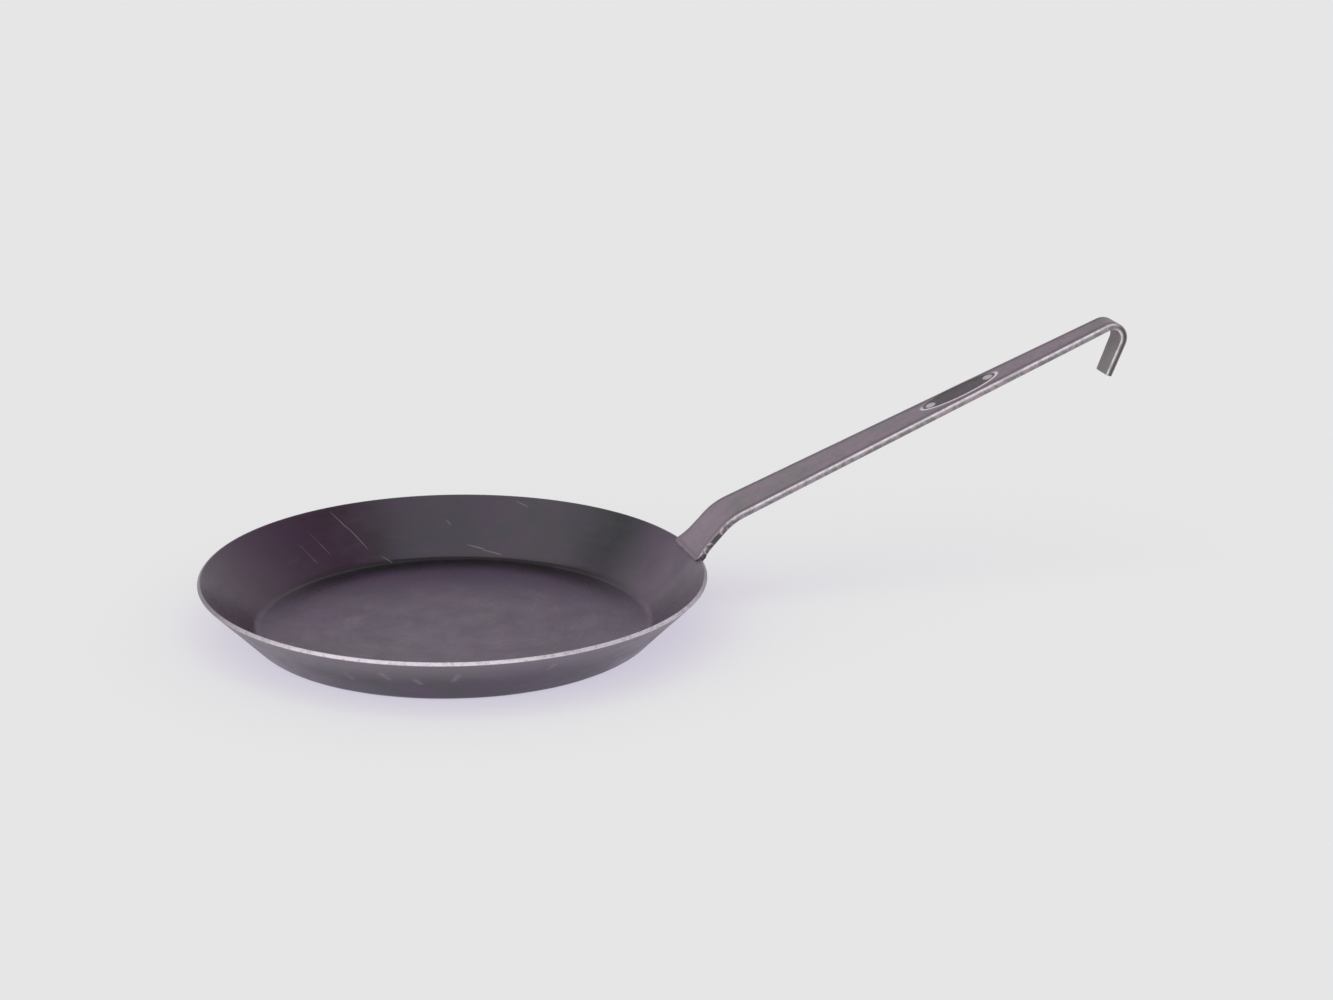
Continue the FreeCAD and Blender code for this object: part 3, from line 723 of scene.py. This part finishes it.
def used_skin(skin, base, soot, scratched):
    """Clouds, rings and specks over the skin, soot in the corner, marks on both sides, and a
    painted reflection on the upper outer wall.
    """
    # Painted reflection of the bright floor: lighter towards the rim on the outside, strongest on
    # the side towards the camera.
    painted_reflection = skin.product(skin.ramp(skin.height, 0.013, 0.034), skin.outside)
    painted_reflection = skin.product(painted_reflection, skin.towards(REFLECTION_AZIMUTH, 0.6, 1.0, 0.6))
    scuffed = skin.product(skin.strokes(SCUFFS, SCUFF_EDGE), skin.outside)
    scuffed = skin.product(scuffed, skin.ramp(skin.speck, 0.30, 0.70, 0.05, 0.5))
    base = skin.mix(skin.ramp(skin.cloud, 0.35, 0.75, 0.0, 0.4), base, CLOUDED)
    base = skin.mix(skin.ramp(skin.rings, 0.55, 0.85, 0.0, 0.35), base, RING_TONE)
    base = skin.mix(skin.ramp(skin.speck, 0.70, 0.85, 0.0, 0.25), base, SPECK_TONE)
    base = skin.mix(soot, base, SOOT)
    base = skin.mix(painted_reflection, base, PAINTED_REFLECTION)
    base = skin.mix(scratched, base, SCRATCH)
    return skin.mix(scuffed, base, SCUFF)


def pan_material():
    """Blued sheet iron: purple and green-grey patches, brushed floor, bright worn rim with a
    painted highlight on its near side, painted reflection on the outer wall and painted light on
    the right-hand wall.
    """
    skin = PanSkin("blued_sheet_iron")
    blue = skin.wall_towards(BLUE_AZIMUTH, 0.94, 1.0)
    soot = skin.product(skin.attribute("corner"), skin.ramp(skin.cloud, 0.2, 0.6, 0.75, 1.0))
    soot = skin.product(soot, skin.towards(SOOT_AZIMUTH, 0.15, 0.8, 0.15))
    scratched = skin.product(skin.strokes(SCRATCHES, SCRATCH_EDGE), skin.inside)
    scratched = skin.product(scratched, skin.ramp(skin.cloud, 0.35, 0.65, 0.2, 0.7))
    broken = skin.noise(skin.place, 0.003, detail=5.0, roughness=0.7)
    # Worn rim edge and painted highlight: the bright steel is strongest on the side of the rim
    # towards the camera.
    bare_and_lit_rim = skin.ramp(skin.attribute("edge"), 0.35, 0.95)
    bare_and_lit_rim = skin.product(bare_and_lit_rim, skin.ramp(broken, 0.30, 0.55, 0.55, 1.0))
    bare_and_lit_rim = skin.product(bare_and_lit_rim, skin.towards(RIM_HIGHLIGHT_AZIMUTH, 0.1, 0.8, 0.12))
    base = used_skin(skin, blued_skin(skin, blue), soot, scratched)
    skin.set(Base_Color=skin.mix(bare_and_lit_rim, base, BARE_AND_LIT_RIM), Metallic=skin.product(bare_and_lit_rim, 0.25))
    skin.set(Specular_Tint=SKIN_SHINE)

    rough = skin.ramp(skin.cloud, 0.3, 0.7, 0.28, 0.36)
    rough = skin.calc("ADD", rough, skin.ramp(skin.rings, 0.3, 0.8, -0.03, 0.04))
    for mark, change in ((scratched, 0.1), (soot, -0.10), (blue, -0.03)):
        rough = skin.calc("ADD", rough, skin.product(mark, change))
    skin.set(Roughness=rough)
    grain = skin.noise(skin.place, 0.0006, detail=3.0, roughness=0.6)
    skin.bump(
        (skin.rings, 0.00010, 0.35),
        (skin.broad_rings, 0.0004, 0.25),
        (skin.speck, 0.00015, 0.15),
        (grain, 0.00005, 0.25),
    )
    return skin.owner


# The handle's colours: the two tones of its skin, its grain, its side faces, its wear, and a
# painted highlight on the stamp's border.
MAUVE, GREY = colour(0.180, 0.124, 0.168), colour(0.130, 0.118, 0.128)
STREAK, BLOTCH = colour(0.20, 0.165, 0.19), colour(0.05, 0.04, 0.05)
DARK_LINE, LOWER_LEG_TONE = colour(0.04, 0.03, 0.04), colour(0.23, 0.165, 0.22)
SIDE_PALE, SIDE_GREY = colour(0.26, 0.22, 0.255), colour(0.145, 0.140, 0.140)
HOOK_LEG_TONE, SCALE = colour(0.20, 0.195, 0.19), colour(0.022, 0.020, 0.020)
# The second colour is bright worn metal, also used for the painted highlight on the near half of
# the stamp's border.
STAMP_TONE, WEAR_AND_HIGHLIGHT = colour(0.03, 0.026, 0.03), colour(0.70, 0.62, 0.68)


def bar_skin(shader, grain, streaks, blotches):
    """The bar's skin: two tones, grain, blotches, and a dark line along each edge of a face."""
    stretched = shader.stretch(grain, (0.5, 1.0, 1.0))
    patches = shader.noise(stretched, 0.012, detail=5.0, roughness=0.6, distortion=0.5)
    inset = shader.attribute("inset")
    dark_line = shader.product(
        shader.ramp(inset, 0.7, 1.8), shader.ramp(inset, 2.4, 4.2, 1.0, 0.0), 0.55
    )
    base = shader.mix(shader.ramp(patches, 0.35, 0.68), MAUVE, GREY)
    base = shader.mix(shader.ramp(streaks, 0.35, 0.75, 0.0, 0.35), base, STREAK)
    base = shader.mix(shader.ramp(blotches, 0.60, 0.80, 0.0, 0.35), base, BLOTCH)
    return shader.mix(dark_line, base, DARK_LINE)


def handle_material():
    """Hot-rolled bar: mauve-grey skin, lengthwise grain, bright worn edges, dark stamp with a
    painted highlight on its border.
    """
    shader = Shader(bpy.data.materials.new("rolled_bar_iron"))
    grain = shader.attribute("grain", "Vector")
    stretched = shader.stretch(grain, (0.06, 1.0, 1.0))
    streaks = shader.noise(stretched, 0.0016, detail=5.0, roughness=0.6)
    blotches = shader.noise(grain, 0.0045, detail=5.0, roughness=0.65, distortion=0.4)
    speck = shader.noise(grain, 0.0012, detail=3.0, roughness=0.7)

    side = shader.attribute("side")
    station = shader.add("ShaderNodeSeparateXYZ", inputs={0: grain})
    lower_leg = shader.ramp(station, 0.018, 0.040, 1.0, 0.0)
    hook_leg = shader.ramp(station, (HOOK_START + 10) * MM, (HOOK_START + 18) * MM, 0.0, 0.6)
    scaly = shader.product(lower_leg, shader.ramp(blotches, 0.40, 0.54))
    scaly = shader.calc("MAXIMUM", scaly, shader.attribute("scale"))
    side_colour = shader.mix(shader.ramp(blotches, 0.42, 0.58), SIDE_PALE, SIDE_GREY)
    worn = shader.product(shader.attribute("worn"), shader.ramp(blotches, 0.36, 0.70, 1.0, 0.45))
    worn = shader.product(worn, shader.rest(scaly))
    # Adds the painted highlight on the near half of the stamp's border and the worn spots at its
    # ends.
    worn = shader.calc("MAXIMUM", worn, shader.attribute("stamp_highlight_and_wear"))

    base = bar_skin(shader, grain, streaks, blotches)
    base = shader.mix(shader.product(lower_leg, 0.35), base, LOWER_LEG_TONE)
    base = shader.mix(side, base, side_colour)
    base = shader.mix(hook_leg, base, HOOK_LEG_TONE)
    base = shader.mix(shader.product(scaly, side, 0.8), base, SCALE)
    base = shader.mix(shader.product(shader.attribute("stamp"), 0.85), base, STAMP_TONE)
    base = shader.mix(worn, base, WEAR_AND_HIGHLIGHT)
    rough = shader.ramp(blotches, 0.3, 0.7, 0.38, 0.52)
    rough = shader.calc("ADD", rough, shader.ramp(streaks, 0.3, 0.8, -0.05, 0.06))
    metal = shader.calc("MAXIMUM", shader.product(worn, 0.6), 0.15)
    shader.set(Base_Color=base, Roughness=rough, Metallic=metal)
    shader.bump((streaks, 0.00010, 0.4), (blotches, 0.0003, 0.3), (speck, 0.00010, 0.3))
    return shader.owner


def weld_material():
    """Weld metal: uneven grey skin with bright wire-brushed tops and dark scale."""
    shader = Shader(bpy.data.materials.new("weld_bead_iron"))
    place = shader.object_place()
    lumps = shader.noise(place, 0.0022, detail=5.0, roughness=0.65, distortion=0.4)
    fine = shader.noise(place, 0.0006, roughness=0.6)
    dark, bright = colour(0.022, 0.018, 0.020), colour(0.16, 0.145, 0.155)
    base = shader.mix(shader.ramp(lumps, 0.42, 0.72), dark, bright)
    shader.set(Base_Color=base, Roughness=shader.ramp(lumps, 0.3, 0.7, 0.6, 0.4), Metallic=0.4)
    shader.bump((lumps, 0.0004, 0.5), (fine, 0.0001, 0.5))
    return shader.owner


# Stage, light and camera -------------------------------------------------------------------

BACKDROP, OVERHEAD = 0.79, 0.38
FLOOR_TONE = (0.25, 0.29, 0.16)
FLOOR_LIT = 1.02  # light the open floor gets, in units of a backdrop of 1
LIGHT_STRENGTH, LIGHT_SPREAD = 2.5, 110.0
LIGHT_DIRECTION = Vector((-0.30, -0.76, 0.58))  # towards the light, for a camera that faces +Y
HANDLE_AZIMUTH = 14.183  # turn of the handle away from the camera's right
CAMERA_DISTANCE, CAMERA_ELEVATION, CAMERA_LENS = 1.88585, 20.300, 91.823
CAMERA_YAW, CAMERA_PITCH, CAMERA_ROLL = -3.6128, 2.0753, 1.1196


def make_stage():
    """Plain pale floor far wider than the view."""
    reach, below = 60.0, -0.0001
    corners = [(-reach, -reach, below), (reach, -reach, below), (reach, reach, below),
               (-reach, reach, below)]
    mesh = bpy.data.meshes.new("floor")
    mesh.from_pydata(corners, [], [(0, 1, 2, 3)])
    shader = Shader(bpy.data.materials.new("pale_floor"))
    glow = (BACKDROP - FLOOR_LIT * tone for tone in FLOOR_TONE)
    shader.set(Base_Color=colour(*FLOOR_TONE), Roughness=0.9, Specular_IOR_Level=0.0)
    shader.set(Emission_Color=colour(*glow), Emission_Strength=1.0)
    mesh.materials.append(shader.owner)
    floor = bpy.data.objects.new("floor", mesh)
    bpy.context.scene.collection.objects.link(floor)


def make_light():
    """Pale surroundings, dimmer overhead, and one very broad light above the camera's side."""
    sky = Shader(bpy.data.worlds.new("surroundings"), "Background")
    direction = sky.add("ShaderNodeTexCoord", output="Generated")
    rise = sky.add("ShaderNodeSeparateXYZ", inputs={0: direction}, output=2)
    sky.set(Color=sky.ramp(rise, 0.42, 0.85, BACKDROP, OVERHEAD))
    bpy.context.scene.world = sky.owner
    lamp = bpy.data.lights.new("softbox", "SUN")
    lamp.energy = LIGHT_STRENGTH
    lamp.angle = math.radians(LIGHT_SPREAD)
    softbox = bpy.data.objects.new("softbox", lamp)
    turn = Matrix.Rotation(math.radians(-HANDLE_AZIMUTH), 3, "Z")
    softbox.rotation_euler = (turn @ LIGHT_DIRECTION).to_track_quat("Z", "Y").to_euler()
    bpy.context.scene.collection.objects.link(softbox)


def make_camera():
    """Long lens on the viewer's side, with a slight tilt."""
    rise = math.radians(CAMERA_ELEVATION)
    away = Vector((0, -math.cos(rise), math.sin(rise)))
    right = Vector((1, 0, 0))
    axes = Matrix((right, right.cross(-away), -away))
    for angle, axis in ((CAMERA_YAW, "Y"), (CAMERA_PITCH, "X"), (CAMERA_ROLL, "Z")):
        axes = Matrix.Rotation(math.radians(angle), 3, axis) @ axes
    facing = Matrix((axes[0], axes[1], -axes[2])).transposed()  # a camera looks along its own -Z
    turn = Matrix.Rotation(math.radians(-HANDLE_AZIMUTH), 3, "Z")
    camera = bpy.data.objects.new("camera", bpy.data.cameras.new("camera"))
    camera.data.lens = CAMERA_LENS
    camera.data.sensor_width = 36.0
    camera.data.clip_end = 200.0
    camera.matrix_world = Matrix.LocRotScale(turn @ away * CAMERA_DISTANCE, turn @ facing, None)
    bpy.context.scene.collection.objects.link(camera)
    bpy.context.scene.camera = camera


make_pan(pan_material())
make_handle(handle_material())
weld_metal = weld_material()
make_under_weld(weld_metal)
make_side_welds(weld_metal)
make_stage()
make_light()
make_camera()
bpy.context.scene.view_settings.view_transform = "Standard"
